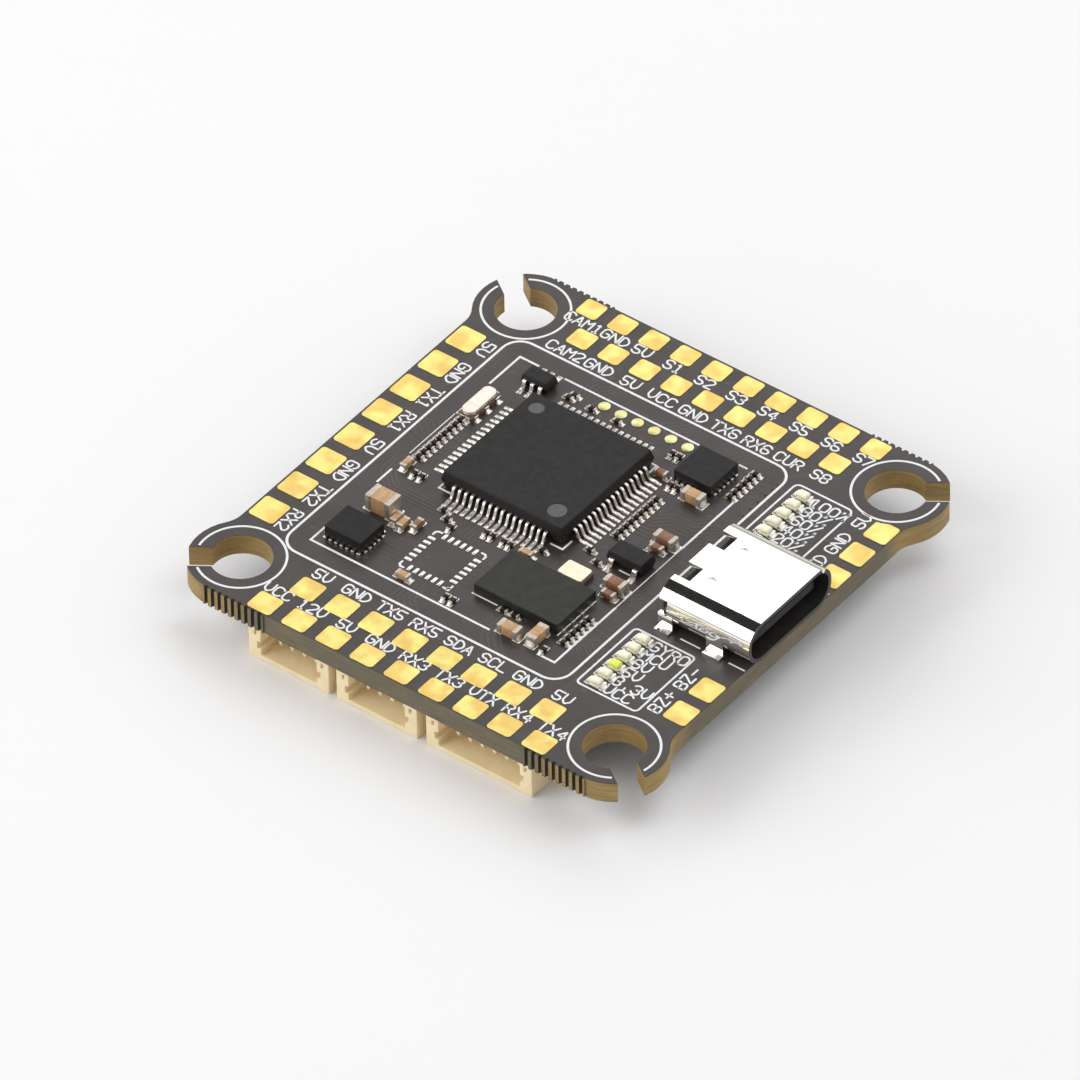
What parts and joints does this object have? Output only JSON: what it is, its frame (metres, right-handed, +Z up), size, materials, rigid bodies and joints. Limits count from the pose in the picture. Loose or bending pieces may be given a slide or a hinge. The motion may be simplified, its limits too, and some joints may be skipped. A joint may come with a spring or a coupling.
{
  "type": "flight controller board",
  "caption": "Square circuit board for a small multirotor with a processor, USB socket, solder pads along its edges, slotted corner mounting holes and plug sockets underneath.",
  "frame": {"origin": "middle of the square of four mounting holes, on the underside of the bare board", "axes": "+X towards the edge with the USB socket, +Y towards the edge with the motor signal pads, +Z up out of the processor side"},
  "size_m": [0.0378, 0.0378, 0.0078],
  "materials": {
    "board_laminate": "satin charcoal solder mask over olive-tan glass laminate",
    "gold_plating": "pale satin immersion gold",
    "tin_plating": "bright tinned metal",
    "nickel_sheet": "bright nickel-plated sheet",
    "socket_plastic": "cream heat-resistant nylon",
    "tan_ceramic": "tan ceramic",
    "brown_ceramic": "dark brown ceramic",
    "led_resin": "cream clear-coated resin",
    "status_led_resin": "yellow-green resin",
    "crystal_cap": "cream ceramic",
    "ferrite": "dark grey moulded ferrite",
    "plunger_plastic": "off-white plastic",
    "black_mould": "matte black moulding compound"
  },
  "bodies": {
    "board": {"circuit_board": "board_laminate", "rear_pads": "gold_plating", "front_pads": "gold_plating", "left_pads": "gold_plating", "right_pads": "gold_plating", "programming_pads": "gold_plating", "spare_footprint_pads": "tin_plating", "processor_body": "black_mould", "processor_leads": "tin_plating", "gyro_body": "black_mould", "gyro_pads": "tin_plating", "memory_body": "black_mould", "memory_pads": "tin_plating", "signal_chip_body": "black_mould", "signal_chip_pads": "tin_plating", "regulator_body": "black_mould", "regulator_leads": "tin_plating", "transistor_body": "black_mould", "transistor_leads": "tin_plating", "resonator_base": "tan_ceramic", "resonator_lid": "nickel_sheet", "crystal_base": "tan_ceramic", "crystal_lid": "crystal_cap", "large_capacitor_bodies": "tan_ceramic", "large_capacitor_ends": "tin_plating", "small_capacitor_bodies": "brown_ceramic", "small_capacitor_ends": "tin_plating", "resistor_bodies": "black_mould", "resistor_ends": "tin_plating", "led_bases": "led_resin", "led_lenses": "led_resin", "status_led_lens": "status_led_resin", "led_ends": "tin_plating", "usb_shell": "nickel_sheet", "usb_insulator": "black_mould", "usb_tongue": "black_mould", "usb_contacts": "gold_plating", "left_socket_housing": "socket_plastic", "left_socket_contacts": "tin_plating", "middle_socket_housing": "socket_plastic", "middle_socket_contacts": "tin_plating", "right_socket_housing": "socket_plastic", "right_socket_contacts": "tin_plating", "esc_socket_housing": "socket_plastic", "esc_socket_contacts": "tin_plating", "socket_anchor_tabs": "tin_plating", "osd_chip_body": "black_mould", "osd_chip_leads": "tin_plating", "osd_crystal": "nickel_sheet", "power_inductors": "ferrite", "power_chip_bodies": "black_mould", "power_chip_leads": "tin_plating", "barometer_base": "tan_ceramic", "barometer_lid": "nickel_sheet", "boot_button_base": "black_mould", "boot_button_dome": "nickel_sheet", "boot_button_terminals": "tin_plating", "boot_button_cover": "nickel_sheet"},
    "button_plunger": {"boot_button_plunger": "plunger_plastic"}
  },
  "joints": [
    {"name": "boot_button_press", "type": "slide", "parent": "board", "child": "button_plunger", "axis": [0, 0, 1], "range_m": [0, 0.00025], "stiffness_N_per_m": 3600, "springref_m": -0.00025}
  ]
}
